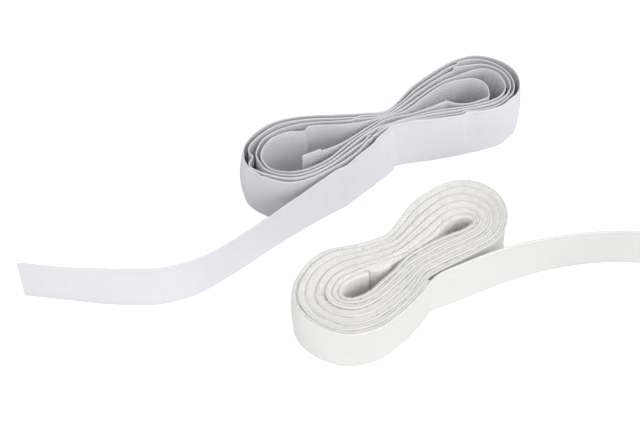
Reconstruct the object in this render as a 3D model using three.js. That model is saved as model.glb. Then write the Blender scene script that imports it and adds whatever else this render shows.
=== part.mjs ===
// Hook and loop tape: one strip of hook tape and one strip of loop tape, each folded
// back and forth into a hank that stands on its edge, with a loose end lying out.
// Millimetres, +Z up, the tapes' lower edges on z = 0.
import * as THREE from "three";

// Both tapes
const TAPE_WIDTH = 20;
const FIELD_SET_OFF = 0.08;
const FIELD_CLEARANCE = 0.34;
const END_CLEARANCE = 0.3;
const NEIGHBOUR_REACH_SHARE = 0.7;

// Hook tape
const HOOK_TAPE_THICKNESS = 0.3;
const HOOK_FIELD_DEPTH = 1;
const HOOK_FIELD_LEAST = 0.12;
const HOOK_FIELD_MARGIN = 2;
const HOOK_WAIST_PITCH = 0.85;
const HOOK_LEAN_REST = 1.2;
const HOOK_LEAN_RISE = 2.1;
const HOOK_LEAN_SPAN = 32;

// Loop tape
const LOOP_TAPE_THICKNESS = 0.5;
const LOOP_FIELD_DEPTH = 1.5;
const LOOP_FIELD_LEAST = 0.6;
const LOOP_FIELD_MARGIN = 1.5;
const LOOP_WAIST_PITCH = 2.312;
const LOOP_LEAN_X = -0.3;
const LOOP_LEAN_Y = -2;

// Steps between two route points, from one crossing of the waist to the next
const LOBE_STEPS = [2, 1, 1, 1, 2, 2, 2, 2, 2, 1, 1, 1, 1, 2];
const LEAD_STEPS = 1;
const TAIL_STEPS = 2;
const HOOK_PASSES = 5;
const LOOP_PASSES = 7;

// All routes are seen from above, in tape widths, along the tape's upper edge.
// Waist: where the outermost turn crosses it at the back, then at the front.
const HOOK_WAIST_SHARES = [[1.265, 1.845], [1.465, 1.505]];
const LOOP_WAIST_SHARES = [[1.25, -1.5], [1.98, -2.68]];

// One pass round the hook hank's left lobe, front to back: innermost x, y, outermost x, y
const HOOK_LEFT_SHARES = [
  [0.95, 1.35, 0.93, 1.1], [0.55, 0.97, 0.59, 0.61],
  [0.17, 0.53, 0.265, 0.285], [-0.215, 0.245, -0.175, -0.03],
  [-0.58, 0.15, -0.625, -0.145], [-0.925, 0.225, -1.085, 0.03],
  [-1.11, 0.445, -1.405, 0.32], [-1.14, 0.725, -1.49, 0.71],
  [-0.99, 1.06, -1.36, 1.13], [-0.645, 1.31, -1, 1.53],
  [-0.15, 1.46, -0.45, 1.73], [0.425, 1.52, 0.3, 1.8],
  [0.875, 1.6, 0.85, 1.835],
];

// One pass round its right lobe, back to front: second x, y, outermost x, y
const HOOK_RIGHT_SHARES = [
  [1.63, 1.94, 1.525, 2.165], [2.06, 2.43, 1.905, 2.715],
  [2.55, 2.9, 2.355, 3.175], [3, 3.18, 2.81, 3.54],
  [3.385, 3.27, 3.3, 3.695], [3.68, 3.095, 3.79, 3.48],
  [3.81, 2.77, 4.07, 3.06], [3.75, 2.5, 4.07, 2.51],
  [3.55, 2.29, 3.78, 2.1], [3.15, 2.115, 3.3, 1.915],
  [2.7, 2.015, 2.775, 1.78], [2.25, 1.91, 2.29, 1.68],
  [1.815, 1.745, 1.84, 1.61],
];

// The first, narrower pass round the right lobe, and the free inner end before it
const HOOK_FIRST_SHARES = [
  [1.7, 1.88], [2.1, 2.345], [2.525, 2.745], [2.9, 2.915],
  [3.21, 2.935], [3.39, 2.775], [3.44, 2.55], [3.36, 2.345],
  [3.145, 2.215], [2.85, 2.135], [2.51, 2.11], [2.14, 1.99],
  [1.79, 1.82],
];
const HOOK_LEAD_SHARES = [
  [-0.335, 0.53], [0.025, 0.74], [0.385, 0.95], [0.64, 1.16],
  [0.96, 1.43],
];

// The loose end from the waist on: upper edge x, y, lower edge x, y
const HOOK_TAIL_SHARES = [
  [1.215, 1.275, 1.22, 1.07], [0.93, 0.955, 0.93, 0.79],
  [0.61, 0.53, 0.665, 0.385], [0.1, -0.03, 0.125, -0.05],
  [-0.26, -0.4, -0.245, -0.32], [-0.62, -0.745, -0.61, -0.63],
  [-1.01, -1.13, -0.99, -1.02], [-1.32, -1.44, -1.3, -1.33],
  [-1.77, -1.82, -1.75, -1.72], [-2.21, -2.1, -2.2, -2.03],
  [-2.625, -2.3, -2.625, -2.25], [-3.1, -2.41, -3.1, -2.365],
  [-3.86, -2.4, -3.86, -2.335], [-4.62, -2.36, -4.62, -2.24],
  [-5.51, -2.235, -5.41, -2.11],
];

// One pass round the loop hank's left lobe, back to front: innermost x, y, outermost x, y
const LOOP_LEFT_SHARES = [
  [1.375, -2.19, 1.04, -1.64], [1.1, -2.33, 0.74, -1.775],
  [0.86, -2.455, 0.385, -1.86], [0.64, -2.565, 0.09, -1.965],
  [0.46, -2.69, -0.2, -2.215], [0.36, -2.84, -0.42, -2.63],
  [0.345, -2.98, -0.49, -3.075], [0.43, -3.08, -0.33, -3.48],
  [0.58, -3.1, 0.025, -3.79], [0.74, -3.045, 0.475, -3.94],
  [0.92, -2.91, 0.975, -3.805], [1.1, -2.715, 1.41, -3.445],
  [1.32, -2.47, 1.76, -3.025],
];
const LOOP_LEFT_LEVEL_SHARES = [0, 0.136, 0.272, 0.49, 0.71, 0.86, 1];
const LOOP_START_POINT = 2;

// One pass round its right lobe, front to back: innermost x, y, outermost x, y
const LOOP_RIGHT_SHARES = [
  [1.9, -1.865, 2.175, -2.38], [2.2, -1.65, 2.5, -2.18],
  [2.5, -1.49, 2.85, -1.965], [2.73, -1.35, 3.19, -1.73],
  [2.845, -1.23, 3.42, -1.38], [2.865, -1.12, 3.49, -0.97],
  [2.795, -1.04, 3.415, -0.58], [2.66, -1.01, 3.18, -0.25],
  [2.5, -1.06, 2.8, -0.075], [2.35, -1.17, 2.39, -0.16],
  [2.215, -1.34, 2.015, -0.43], [2.06, -1.53, 1.7, -0.77],
  [1.83, -1.75, 1.465, -1.175],
];

const LOOP_TAIL_SHARES = [
  [2.18, -2.48, 2.19, -2.47], [2.5, -2.31, 2.51, -2.355],
  [2.88, -2.11, 2.89, -2.205], [3.3, -1.91, 3.3, -2],
  [3.7, -1.76, 3.7, -1.75], [4.21, -1.61, 4.21, -1.535],
  [4.68, -1.52, 4.68, -1.41], [5.14, -1.47, 5.14, -1.33],
  [5.6, -1.45, 5.6, -1.3], [6.25, -1.47, 6.25, -1.32],
];

const inTapeWidths = ([x, y]) => new THREE.Vector2(x, y).multiplyScalar(TAPE_WIDTH);

// Crossing points of the waist on one side, innermost strand first
function crossings(outermost, opposite, count, pitch) {
  const inward = opposite.clone().sub(outermost).normalize();
  return Array.from({ length: count }, (_, strand) =>
    outermost.clone().addScaledVector(inward, pitch * (count - 1 - strand)));
}

// One pass round a lobe, at a level between its innermost and its outermost outline
function pass(table, level) {
  return table.map(([innerX, innerY, outerX, outerY]) =>
    inTapeWidths([innerX, innerY]).lerp(inTapeWidths([outerX, outerY]), level));
}

// Level of one turn of the loop hank in its left lobe
function leftLevelOf(turn) {
  const place = turn * (LOOP_LEFT_LEVEL_SHARES.length - 1) / (LOOP_PASSES - 1);
  const below = Math.min(Math.floor(place), LOOP_LEFT_LEVEL_SHARES.length - 2);
  return THREE.MathUtils.lerp(
    LOOP_LEFT_LEVEL_SHARES[below], LOOP_LEFT_LEVEL_SHARES[below + 1], place - below);
}

function leanOfHook(waistX) {
  return (upper) => {
    const along = (upper.x - waistX) / HOOK_LEAN_SPAN;
    return new THREE.Vector2(0, HOOK_LEAN_REST + HOOK_LEAN_RISE * Math.exp(-along * along));
  };
}

function leanOfLoop() {
  return () => new THREE.Vector2(LOOP_LEAN_X, LOOP_LEAN_Y);
}

// Route points of a hank as { upper, lower, steps }, from the inner end to the loose end
function hookRoute() {
  const [back, front] = HOOK_WAIST_SHARES.map(inTapeWidths);
  const backStrands = crossings(back, front, HOOK_PASSES, HOOK_WAIST_PITCH);
  const frontStrands = crossings(front, back, HOOK_PASSES, HOOK_WAIST_PITCH);
  const lean = leanOfHook(front.x);
  const route = [];
  const add = (upper, steps) => route.push({ upper, lower: upper.clone().sub(lean(upper)), steps });
  HOOK_LEAD_SHARES.forEach((point) => add(inTapeWidths(point), LEAD_STEPS));
  route[route.length - 1].steps = LOBE_STEPS[0];
  for (let turn = 0; turn < HOOK_PASSES; turn += 1) {
    add(backStrands[turn], LOBE_STEPS[0]);
    const right = turn === 0
      ? HOOK_FIRST_SHARES.map(inTapeWidths)
      : pass(HOOK_RIGHT_SHARES, (turn - 1) / (HOOK_PASSES - 2));
    right.forEach((point, index) => add(point, LOBE_STEPS[index + 1]));
    add(frontStrands[turn], LOBE_STEPS[0]);
    if (turn < HOOK_PASSES - 1) {
      pass(HOOK_LEFT_SHARES, turn / (HOOK_PASSES - 2))
        .forEach((point, index) => add(point, LOBE_STEPS[index + 1]));
    }
  }
  return { route: withTail(route, HOOK_TAIL_SHARES), wound: route.length - HOOK_TAIL_SHARES.length };
}

function loopRoute() {
  const [back, front] = LOOP_WAIST_SHARES.map(inTapeWidths);
  const backStrands = crossings(back, front, LOOP_PASSES - 1, LOOP_WAIST_PITCH);
  const frontStrands = crossings(front, back, LOOP_PASSES, LOOP_WAIST_PITCH);
  const lean = leanOfLoop();
  const route = [];
  const add = (upper, steps) => route.push({ upper, lower: upper.clone().sub(lean(upper)), steps });
  for (let turn = 0; turn < LOOP_PASSES; turn += 1) {
    pass(LOOP_LEFT_SHARES, leftLevelOf(turn)).forEach((point, index) => {
      if (turn > 0 || index >= LOOP_START_POINT) {
        add(point, LOBE_STEPS[index + 1]);
      }
    });
    add(frontStrands[turn], LOBE_STEPS[0]);
    if (turn < LOOP_PASSES - 1) {
      pass(LOOP_RIGHT_SHARES, turn / (LOOP_PASSES - 2))
        .forEach((point, index) => add(point, LOBE_STEPS[index + 1]));
      add(backStrands[turn], LOBE_STEPS[0]);
    }
  }
  return { route: withTail(route, LOOP_TAIL_SHARES), wound: route.length - LOOP_TAIL_SHARES.length };
}

function withTail(route, table) {
  route[route.length - 1].steps = TAIL_STEPS;
  table.forEach(([upperX, upperY, lowerX, lowerY]) => {
    route.push({
      upper: inTapeWidths([upperX, upperY]),
      lower: inTapeWidths([lowerX, lowerY]),
      steps: TAIL_STEPS,
    });
  });
  return route;
}

// Smooth line through the route points, in the steps that each point asks for
function smooth(route, edge) {
  const at = (index) => {
    const last = route.length - 1;
    if (index < 0) {
      return route[0][edge].clone().multiplyScalar(2).sub(route[1][edge]);
    }
    if (index > last) {
      return route[last][edge].clone().multiplyScalar(2).sub(route[last - 1][edge]);
    }
    return route[index][edge];
  };
  const line = [];
  for (let index = 0; index < route.length - 1; index += 1) {
    const [before, from, to, after] = [-1, 0, 1, 2].map((offset) => at(index + offset));
    for (let step = 0; step < route[index].steps; step += 1) {
      const share = step / route[index].steps;
      line.push(new THREE.Vector2(
        blend(before.x, from.x, to.x, after.x, share),
        blend(before.y, from.y, to.y, after.y, share),
      ));
    }
  }
  line.push(route[route.length - 1][edge].clone());
  return line;
}

function blend(before, from, to, after, share) {
  const slope = (to - before) / 2;
  const nextSlope = (after - from) / 2;
  const rise = to - from;
  return from + share * (slope + share * (3 * rise - 2 * slope - nextSlope
    + share * (slope + nextSlope - 2 * rise)));
}

// Directions square to the line, on its left-hand side
function leftOf(line) {
  return line.map((point, index) => {
    const before = line[Math.max(index - 1, 0)];
    const after = line[Math.min(index + 1, line.length - 1)];
    const along = after.clone().sub(before).normalize();
    return new THREE.Vector2(-along.y, along.x);
  });
}

function distancesAlong(line) {
  const distances = [0];
  for (let index = 1; index < line.length; index += 1) {
    distances.push(distances[index - 1] + line[index].distanceTo(line[index - 1]));
  }
  return distances;
}

function nearestOn(point, from, to) {
  const span = to.clone().sub(from);
  const share = point.clone().sub(from).dot(span) / span.lengthSq();
  return from.clone().addScaledVector(span, Math.min(Math.max(share, 0), 1));
}

// Least distance between parts of the line that are not next to each other along it
function leastDistance(line) {
  const along = distancesAlong(line);
  let least = Infinity;
  for (let index = 0; index < line.length; index += 1) {
    for (let other = 0; other < line.length - 1; other += 1) {
      const apart = Math.min(Math.abs(along[other] - along[index]), Math.abs(along[other + 1] - along[index]));
      if (apart > TAPE_WIDTH * NEIGHBOUR_REACH_SHARE) {
        const nearest = nearestOn(line[index], line[other], line[other + 1]);
        least = Math.min(least, nearest.distanceTo(line[index]));
      }
    }
  }
  return least;
}

// Depth that the hooks or loops have room for at each point, on their side of the tape
function fieldDepths(line, side, tape) {
  const along = distancesAlong(line);
  const left = leftOf(line);
  const free = line.map((point, index) => {
    let depth = tape.fieldDepth;
    for (let other = 0; other < line.length - 1; other += 1) {
      const apart = Math.min(Math.abs(along[other] - along[index]), Math.abs(along[other + 1] - along[index]));
      if (apart > TAPE_WIDTH * NEIGHBOUR_REACH_SHARE) {
        const offset = nearestOn(point, line[other], line[other + 1]).sub(point);
        const across = offset.dot(left[index]) * side;
        if (across > offset.length() / 2) {
          const facing = left[other].dot(offset) * side < 0;
          const room = facing
            ? (offset.length() - tape.thickness - FIELD_CLEARANCE) / 2
            : offset.length() - tape.thickness - FIELD_CLEARANCE;
          depth = Math.min(depth, room - FIELD_SET_OFF);
        }
      }
    }
    return Math.max(depth, tape.fieldLeast);
  });
  return free.map((depth, index) => {
    const before = free[Math.max(index - 1, 0)];
    const after = free[Math.min(index + 1, free.length - 1)];
    return Math.min(depth, (before + depth + after) / 3);
  });
}

// A closed band between two offsets from the tape's middle, through a list of heights
function band(upper, lower, heights, offsets, range) {
  const leftUpper = leftOf(upper);
  const leftLower = leftOf(lower);
  const positions = [];
  const corner = (index, height, offset) => {
    const low = lower[index].clone().addScaledVector(leftLower[index], offset);
    const high = upper[index].clone().addScaledVector(leftUpper[index], offset);
    const at = low.lerp(high, height / TAPE_WIDTH);
    positions.push(at.x, at.y, height);
  };
  for (let index = range[0]; index <= range[1]; index += 1) {
    const [near, far] = offsets.map((list) => list[index]);
    heights.forEach((height) => corner(index, height, far));
    heights.toReversed().forEach((height) => corner(index, height, near));
  }
  const around = heights.length * 2;
  const rings = range[1] - range[0];
  const end = rings * around;
  const faces = [];
  for (let ring = 0; ring < rings; ring += 1) {
    for (let side = 0; side < around; side += 1) {
      const a = ring * around + side;
      const b = ring * around + (side + 1) % around;
      faces.push([a, b, b + around], [a, b + around, a + around]);
    }
  }
  for (let row = 0; row < heights.length - 1; row += 1) {
    const [a, b, c, d] = [row, row + 1, around - 2 - row, around - 1 - row];
    faces.push([a, c, b], [a, d, c], [end + a, end + b, end + c], [end + a, end + c, end + d]);
  }
  return outwardGeometry(positions, faces);
}

function outwardGeometry(positions, faces) {
  const geometry = new THREE.BufferGeometry();
  geometry.setAttribute("position", new THREE.Float32BufferAttribute(positions, 3));
  const point = (index) => new THREE.Vector3().fromArray(positions, index * 3);
  const volume = faces.reduce((sum, [a, b, c]) => sum + point(a).dot(point(b).cross(point(c))), 0);
  geometry.setIndex(faces.flatMap(([a, b, c]) => (volume > 0 ? [a, b, c] : [a, c, b])));
  geometry.computeVertexNormals();
  return geometry;
}

// Cuts the line where the loose end starts, and leaves the clearance between both parts
function splitAt(upper, lower, index) {
  const towards = (line) => {
    const step = line[index + 1].clone().sub(line[index]);
    return line[index].clone().addScaledVector(step.normalize(), END_CLEARANCE);
  };
  return {
    upper: [...upper.slice(0, index + 1), towards(upper), ...upper.slice(index + 1)],
    lower: [...lower.slice(0, index + 1), towards(lower), ...lower.slice(index + 1)],
  };
}

function makeHank(name, { route, wound }, tape) {
  const woundSteps = route.slice(0, wound - 1).reduce((sum, point) => sum + point.steps, 0);
  const { upper, lower } = splitAt(smooth(route, "upper"), smooth(route, "lower"), woundSteps);
  const last = upper.length - 1;
  const halfThickness = tape.thickness / 2;
  const upperDepths = fieldDepths(upper, tape.side, tape);
  const lowerDepths = fieldDepths(lower, tape.side, tape);
  const facing = tape.side * halfThickness;
  const foot = tape.side * (halfThickness + FIELD_SET_OFF);
  const tapeOffsets = [upper.map(() => facing), upper.map(() => -facing)];
  const fieldOffsets = [
    upper.map(() => foot),
    upper.map((_, index) => foot + tape.side * Math.min(upperDepths[index], lowerDepths[index])),
  ];
  const rollHeights = [0, TAPE_WIDTH];
  const fieldHeights = [tape.fieldMargin, TAPE_WIDTH - tape.fieldMargin];
  const tailHeights = [0, ...fieldHeights, TAPE_WIDTH];
  const part = (suffix, heights, offsets, range, material) => {
    const mesh = new THREE.Mesh(band(upper, lower, heights, offsets, range), material);
    mesh.name = `${name}_${suffix}`;
    return mesh;
  };
  const group = new THREE.Group();
  group.add(
    part(`roll_${tape.tapeName}`, rollHeights, tapeOffsets, [0, woundSteps], tape.tapeMaterial()),
    part(`roll_${tape.fieldName}`, fieldHeights, fieldOffsets, [0, woundSteps], tape.fieldMaterial()),
    part(`tail_${tape.tapeName}`, tailHeights, tapeOffsets, [woundSteps + 1, last], tape.tapeMaterial()),
    part(`tail_${tape.fieldName}`, fieldHeights, fieldOffsets, [woundSteps + 1, last], tape.fieldMaterial()),
  );
  const gap = Math.min(leastDistance(upper), leastDistance(lower)) - tape.thickness;
  const length = distancesAlong(upper)[last];
  console.log(`${name}: length ${length.toFixed(0)} mm, least gap to itself ${gap.toFixed(2)} mm`);
  return group;
}

const matt = (color, roughness) => () =>
  new THREE.MeshStandardMaterial({ color, roughness, metalness: 0 });

const hookTape = {
  thickness: HOOK_TAPE_THICKNESS,
  fieldDepth: HOOK_FIELD_DEPTH,
  fieldLeast: HOOK_FIELD_LEAST,
  fieldMargin: HOOK_FIELD_MARGIN,
  side: -1,
  tapeName: "tape",
  fieldName: "hooks",
  tapeMaterial: matt("#e3e3ea", 0.7),
  fieldMaterial: matt("#d6d6dc", 0.55),
};
const loopTape = {
  thickness: LOOP_TAPE_THICKNESS,
  fieldDepth: LOOP_FIELD_DEPTH,
  fieldLeast: LOOP_FIELD_LEAST,
  fieldMargin: LOOP_FIELD_MARGIN,
  side: 1,
  tapeName: "tape",
  fieldName: "loops",
  tapeMaterial: matt("#f0efeb", 0.8),
  fieldMaterial: matt("#e8e6df", 0.95),
};

const pair = new THREE.Group();
pair.add(makeHank("hook", hookRoute(), hookTape), makeHank("loop", loopRoute(), loopTape));

const bounds = new THREE.Box3().setFromObject(pair);
const middle = bounds.getCenter(new THREE.Vector3());
pair.position.set(-middle.x, -middle.y, -bounds.min.z);
pair.updateMatrixWorld(true);

export default pair;
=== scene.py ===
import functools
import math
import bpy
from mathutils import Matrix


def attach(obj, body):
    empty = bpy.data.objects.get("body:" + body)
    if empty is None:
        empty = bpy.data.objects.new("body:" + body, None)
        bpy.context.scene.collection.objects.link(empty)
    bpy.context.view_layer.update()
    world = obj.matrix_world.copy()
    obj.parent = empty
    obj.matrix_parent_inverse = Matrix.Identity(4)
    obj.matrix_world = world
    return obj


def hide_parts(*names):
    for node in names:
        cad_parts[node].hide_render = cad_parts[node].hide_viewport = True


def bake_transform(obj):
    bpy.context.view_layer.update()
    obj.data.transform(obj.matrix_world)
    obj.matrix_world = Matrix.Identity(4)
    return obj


bl_info = {
    "name": "Hook and Loop Tape",
    "version": (1, 0, 0),
    "blender": (4, 5, 0),
    "location": "3D View > Sidebar > Tape",
    "description": "Dresses two hanks of sew-on tape: woven grounds, stiff hooks and brushed loops",
    "category": "Object",
}

import bpy
import numpy as np
from bpy.props import FloatProperty, FloatVectorProperty, IntProperty, PointerProperty
from mathutils import Vector

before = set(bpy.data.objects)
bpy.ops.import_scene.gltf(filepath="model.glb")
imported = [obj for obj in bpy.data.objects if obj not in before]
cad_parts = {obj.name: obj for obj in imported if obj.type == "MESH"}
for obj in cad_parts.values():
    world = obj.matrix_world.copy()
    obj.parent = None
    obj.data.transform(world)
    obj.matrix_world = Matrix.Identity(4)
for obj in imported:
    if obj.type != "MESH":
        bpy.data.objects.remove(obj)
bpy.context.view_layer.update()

MM = 0.001
CENTIMETRES = 100  # in a metre
UP = np.array((0, 0, 1.0))
TAPE_WIDTH = 20 * MM

# The camera: its lens in pixels, and where the middle of its view lies in the frame. The routes
# are measured from there.
PICTURE_WIDTH = 640
FOCAL_PIXELS = 1430
SENSOR_WIDTH = 36
CAMERA_DISTANCE = 561 * MM
CAMERA_ELEVATION = math.radians(45)
PLAN_SHIFT = np.array((-7.4244, 2.5001)) * MM

# Routes seen from above along each tape's upper edge, in tape widths. The waist is where both
# lobes meet: its outermost back and front strand.
HOOK_WAIST = ((1.265, 1.845), (1.465, 1.505))
LOOP_WAIST = ((1.25, -1.5), (1.98, -2.68))
HOOK_PASSES, HOOK_PITCH = 5, 0.85 * MM
LOOP_PASSES, LOOP_PITCH = 7, 2.312 * MM
# How far each tape's upper edge stands behind its lower one: the loop tape evenly, the hook
# tape more towards its waist
LOOP_LEAN = np.array((-0.3, -2.0)) * MM
HOOK_LEAN, HOOK_WAIST_LEAN, HOOK_LEAN_SPAN = 1.2 * MM, 2.1 * MM, 32 * MM

# Left lobe of the hook hank, front to back: innermost x, y, outermost x, y
HOOK_LEFT = (
    (0.95, 1.35, 0.93, 1.1), (0.55, 0.97, 0.59, 0.61),
    (0.17, 0.53, 0.265, 0.285), (-0.215, 0.245, -0.175, -0.03),
    (-0.58, 0.15, -0.625, -0.145), (-0.925, 0.225, -1.085, 0.03),
    (-1.11, 0.445, -1.405, 0.32), (-1.14, 0.725, -1.49, 0.71),
    (-0.99, 1.06, -1.36, 1.13), (-0.645, 1.31, -1, 1.53),
    (-0.15, 1.46, -0.45, 1.73), (0.425, 1.52, 0.3, 1.8),
    (0.875, 1.6, 0.85, 1.835),
)
# Its right lobe, back to front: second x, y, outermost x, y
HOOK_RIGHT = (
    (1.63, 1.94, 1.525, 2.165), (2.06, 2.43, 1.905, 2.715),
    (2.55, 2.9, 2.355, 3.175), (3, 3.18, 2.81, 3.54),
    (3.385, 3.27, 3.3, 3.695), (3.68, 3.095, 3.79, 3.48),
    (3.81, 2.77, 4.07, 3.06), (3.75, 2.5, 4.07, 2.51),
    (3.55, 2.29, 3.78, 2.1), (3.15, 2.115, 3.3, 1.915),
    (2.7, 2.015, 2.775, 1.78), (2.25, 1.91, 2.29, 1.68),
    (1.815, 1.745, 1.84, 1.61),
)
# The innermost pass round it, and the free inner end before that
HOOK_FIRST = (
    (1.7, 1.88), (2.1, 2.345), (2.525, 2.745), (2.9, 2.915),
    (3.21, 2.935), (3.39, 2.775), (3.44, 2.55), (3.36, 2.345),
    (3.145, 2.215), (2.85, 2.135), (2.51, 2.11), (2.14, 1.99),
    (1.79, 1.82),
)
HOOK_LEAD = ((-0.335, 0.53), (0.025, 0.74), (0.385, 0.95), (0.64, 1.16), (0.96, 1.43))
# The loose end from the waist on: upper edge x, y, lower edge x, y
HOOK_TAIL = (
    (1.3, 1.335, 1.35, 1.1), (1.15, 1.15, 1.175, 0.9),
    (1.04, 0.955, 1.06, 0.765), (0.91, 0.8, 0.93, 0.63),
    (0.77, 0.64, 0.79, 0.485), (0.6, 0.415, 0.62, 0.31),
    (0.5, 0.3, 0.51, 0.19), (0.34, 0.2, 0.35, 0.075),
    (0.1, -0.03, 0.125, -0.085), (-0.26, -0.4, -0.245, -0.375),
    (-0.62, -0.745, -0.61, -0.68), (-1.01, -1.15, -0.99, -1.02),
    (-1.32, -1.445, -1.3, -1.32), (-1.77, -1.85, -1.75, -1.72),
    (-2.21, -2.145, -2.2, -2.08), (-2.625, -2.32, -2.625, -2.285),
    (-3.1, -2.412, -3.1, -2.39), (-3.86, -2.4, -3.86, -2.37),
    (-4.62, -2.36, -4.62, -2.265), (-5.47, -2.245, -5.475, -2.14),
)
# Left lobe of the loop hank, back to front: innermost x, y, outermost x, y
LOOP_LEFT = (
    (1.375, -2.19, 1.04, -1.64), (1.1, -2.33, 0.74, -1.775),
    (0.86, -2.455, 0.385, -1.86), (0.64, -2.565, 0.09, -1.965),
    (0.46, -2.69, -0.2, -2.215), (0.36, -2.84, -0.42, -2.63),
    (0.345, -2.98, -0.49, -3.075), (0.43, -3.08, -0.33, -3.48),
    (0.58, -3.1, 0.025, -3.79), (0.74, -3.045, 0.475, -3.94),
    (0.92, -2.91, 0.975, -3.805), (1.1, -2.715, 1.41, -3.445),
    (1.32, -2.47, 1.76, -3.025),
)
# Where each pass lies between them, and the point at which the innermost one starts
LOOP_LEFT_LEVELS = (0, 0.136, 0.272, 0.49, 0.71, 0.86, 1)
LOOP_START = 2
# Its right lobe, front to back: innermost x, y, outermost x, y
LOOP_RIGHT = (
    (1.9, -1.865, 2.175, -2.38), (2.2, -1.65, 2.5, -2.18),
    (2.5, -1.49, 2.85, -1.965), (2.73, -1.35, 3.19, -1.73),
    (2.845, -1.23, 3.42, -1.38), (2.865, -1.12, 3.49, -0.97),
    (2.795, -1.04, 3.415, -0.58), (2.66, -1.01, 3.18, -0.25),
    (2.5, -1.06, 2.8, -0.075), (2.35, -1.17, 2.39, -0.16),
    (2.215, -1.34, 2.015, -0.43), (2.06, -1.53, 1.7, -0.77),
    (1.83, -1.75, 1.465, -1.175),
)
# The loose end from the waist on: upper edge x, y, lower edge x, y
LOOP_TAIL = (
    (2.18, -2.48, 2.19, -2.46), (2.5, -2.31, 2.51, -2.31),
    (2.88, -2.11, 2.89, -2.115), (3.3, -1.91, 3.3, -1.905),
    (3.7, -1.76, 3.7, -1.72), (4.21, -1.62, 4.21, -1.535),
    (4.68, -1.52, 4.68, -1.41), (5.14, -1.47, 5.14, -1.33),
    (5.6, -1.45, 5.6, -1.3), (6.25, -1.47, 6.25, -1.32),
)

# Local bends that the tapes took from being folded: the turn, plan x, y of the spot on its upper
# edge in tape widths, how far it leaves the route to the left (or upwards) in mm, its reach
# before and after in mm, where across the width it is strongest, and its shape. Turns count
# from the innermost one, with the free inner end before them and the loose end after them.
LEAD, TAIL = -1, 9
ROUND, FOLDED = 2, 1.15
HOOK_DENTS = (
    # The free inner end, and the innermost turn of both lobes
    (LEAD, 0.019, 0.722, 1.3, 30, 0.4, "height", ROUND),
    (0, -0.33, 1.395, -2.3, 8, 1.2, "all", ROUND),
    (0, -0.62, 1.33, 0.5, 2.5, 2.5, "top", ROUND),
    (0, 2.55, 2.2, -2.3, 3.2, 3.8, "top", FOLDED),
    (0, 2.879, 2.92, -0.4, 10, 10, "all", ROUND),
    (0, 3.426, 2.372, 1.0, 2, 2, "top", ROUND),
    # The waist: front strands, back strands, and how far the strands sink there
    (0, 1.37, 1.64, -1.3, 8, 6, "all", ROUND),
    (1, 1.42, 1.62, 1.1, 5, 4, "all", ROUND),
    (2, 1.43, 1.58, 0.8, 5, 4, "all", ROUND),
    (3, 1.45, 1.54, 0.5, 5, 4, "all", ROUND),
    (4, 1.5, 1.51, 0.25, 5, 1, "all", ROUND),
    (0, 1.38, 1.73, 1.7, 10, 10, "all", ROUND),
    (1, 1.36, 1.76, 1.45, 9, 9, "all", ROUND),
    (2, 1.32, 1.78, 1.25, 8, 8, "all", ROUND),
    (3, 1.286, 1.808, 1.3, 7, 7, "all", ROUND),
    (4, 1.265, 1.845, 1.4, 7, 4, "all", ROUND),
    (0, 1.38, 1.65, -0.3, 7, 5, "height", ROUND),
    (0, 1.351, 1.698, -0.5, 7, 7, "height", ROUND),
    (1, 1.33, 1.735, -0.8, 7, 7, "height", ROUND),
    (2, 1.308, 1.772, -0.8, 6, 6, "height", ROUND),
    (3, 1.286, 1.808, -0.5, 5, 5, "height", ROUND),
    # The left lobe: its back, its front beside the waist, and its round end
    (1, 0.7, 1.65, 0.7, 0.8, 5, "top", ROUND),
    (2, 0.8, 1.76, 0.6, 0.8, 5, "top", ROUND),
    (2, 1.067, 1.283, 0.3, 2.4, 1.8, "top", ROUND),
    (2, 1.067, 1.283, -1.6, 2.4, 1.8, "height", ROUND),
    (3, 1.14, 1.3, 0.5, 2.4, 1.8, "top", ROUND),
    (2, 0.83, 1.05, 0.95, 3.2, 4, "all", ROUND),
    (3, 0.8, 0.92, 1.2, 6, 8, "all", ROUND),
    (3, 1.0, 1.16, 0.5, 1, 2, "top", ROUND),
    (0, -1.1, 0.5, -0.2, 8, 8, "all", ROUND),
    (1, -1.18, 0.436, -1.0, 4, 4, "all", ROUND),
    (1, -1.14, 0.8, -0.5, 4, 4, "all", ROUND),
    (2, -1.28, 0.33, 1.2, 9, 10, "all", ROUND),
    (2, -1.308, 0.564, -2.4, 2.3, 2.3, "top", ROUND),
    (2, -1.29, 0.88, 0.4, 2, 2, "top", ROUND),
    (2, -1.24, 0.34, 0.4, 2, 2, "top", ROUND),
    (3, -1.11, 0.042, 0.6, 0.9, 1.6, "top", ROUND),
    (3, -1.46, 0.6, 1.7, 9, 9, "middle", ROUND),
    # The right lobe: its back, its round end, and its front
    (1, 2.891, 3.088, -1.0, 9, 9, "all", ROUND),
    (2, 2.818, 3.234, 1.7, 0.5, 5, "top", ROUND),
    (3, 2.894, 3.437, 1.0, 0.5, 12, "top", ROUND),
    (4, 3.905, 3.332, 0.6, 10, 10, "all", ROUND),
    (1, 3.81, 2.77, -0.4, 7, 7, "all", ROUND),
    (2, 3.897, 2.867, -0.3, 7, 7, "all", ROUND),
    (3, 3.98, 2.96, -0.4, 7, 7, "all", ROUND),
    (4, 4.07, 2.8, 0.7, 12, 12, "middle", ROUND),
    (2, 3.728, 2.31, -0.6, 6, 6, "all", ROUND),
    (3, 3.827, 2.279, -1.3, 7, 7, "all", ROUND),
    (4, 3.882, 2.216, -0.8, 7, 7, "all", ROUND),
    (4, 3.882, 2.216, -0.6, 7, 7, "top", ROUND),
    (2, 2.93, 1.95, -0.4, 4, 1.2, "top", ROUND),
    (3, 2.93, 1.9, -0.8, 4, 1.2, "top", ROUND),
    (4, 2.97, 1.85, -1.4, 5, 1.6, "top", ROUND),
    # The lower edge where the loose end leaves the waist
    (4, 1.42, 1.45, 1.6, 1.6, 2.4, "bottom", ROUND),
)
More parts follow.
